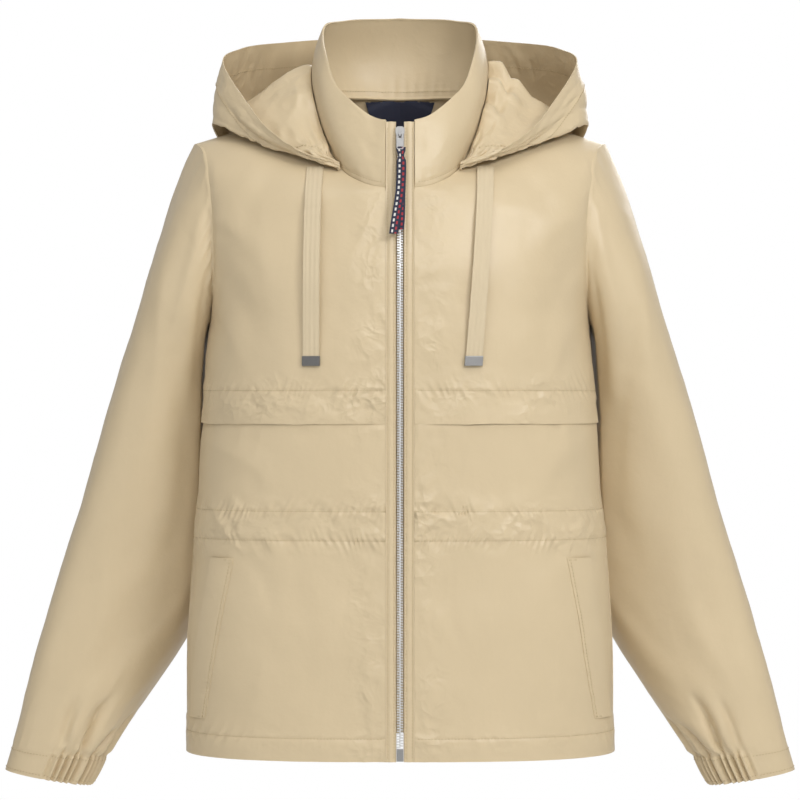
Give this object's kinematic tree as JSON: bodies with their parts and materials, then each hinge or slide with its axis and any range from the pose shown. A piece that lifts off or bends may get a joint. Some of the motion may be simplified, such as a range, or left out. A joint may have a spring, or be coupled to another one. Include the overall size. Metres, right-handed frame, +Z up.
{
  "type": "hooded zip jacket",
  "caption": "Light hooded jacket in its hollow worn form, with a stand collar, storm flap, gathered waist, slanted pockets, front zip and flat drawstrings.",
  "frame": {"origin": "middle of the neck opening at the level of the shoulders, where the wearer's shoulders hold the jacket", "axes": "+Z up, +X the wearer's left, the front faces -Y"},
  "size_m": [0.796, 0.3051, 0.7792],
  "materials": {
    "sand_taffeta": "smooth taffeta with a soft sheen",
    "zip_tape_cloth": "matt woven tape",
    "woven_tape": "matt twill tape",
    "navy_ribbon": "ribbed ribbon",
    "label_cloth": "woven label",
    "bright_metal": "polished nickel",
    "grey_metal": "dark nickel"
  },
  "bodies": {
    "jacket": {"back": "sand_taffeta", "front_yoke_left": "sand_taffeta", "front_yoke_right": "sand_taffeta", "front_lower_left": "sand_taffeta", "front_lower_right": "sand_taffeta", "sleeve_left": "sand_taffeta", "sleeve_right": "sand_taffeta", "cuff_left": "sand_taffeta", "cuff_right": "sand_taffeta", "collar": "sand_taffeta", "hood_left": "sand_taffeta", "hood_right": "sand_taffeta", "zip_welt_left": "sand_taffeta", "zip_welt_right": "sand_taffeta", "pocket_welt_left": "sand_taffeta", "pocket_welt_right": "sand_taffeta", "zip_tape_left": "zip_tape_cloth", "zip_tape_right": "zip_tape_cloth", "zip_chain": "bright_metal", "zip_box": "bright_metal", "zip_slider": "bright_metal", "drawstring_left": "woven_tape", "drawstring_right": "woven_tape", "drawstring_tip_left": "bright_metal", "drawstring_tip_right": "grey_metal", "neck_label": "label_cloth"},
    "pull": {"zip_pull_tab": "bright_metal", "pull_ribbon": "navy_ribbon"}
  },
  "joints": [
    {"name": "pull_swing", "type": "hinge", "parent": "jacket", "child": "pull", "pos_m": [0, -0.11287, -0.034], "axis": [-1, 0, 0], "range_deg": [0, 150]}
  ]
}
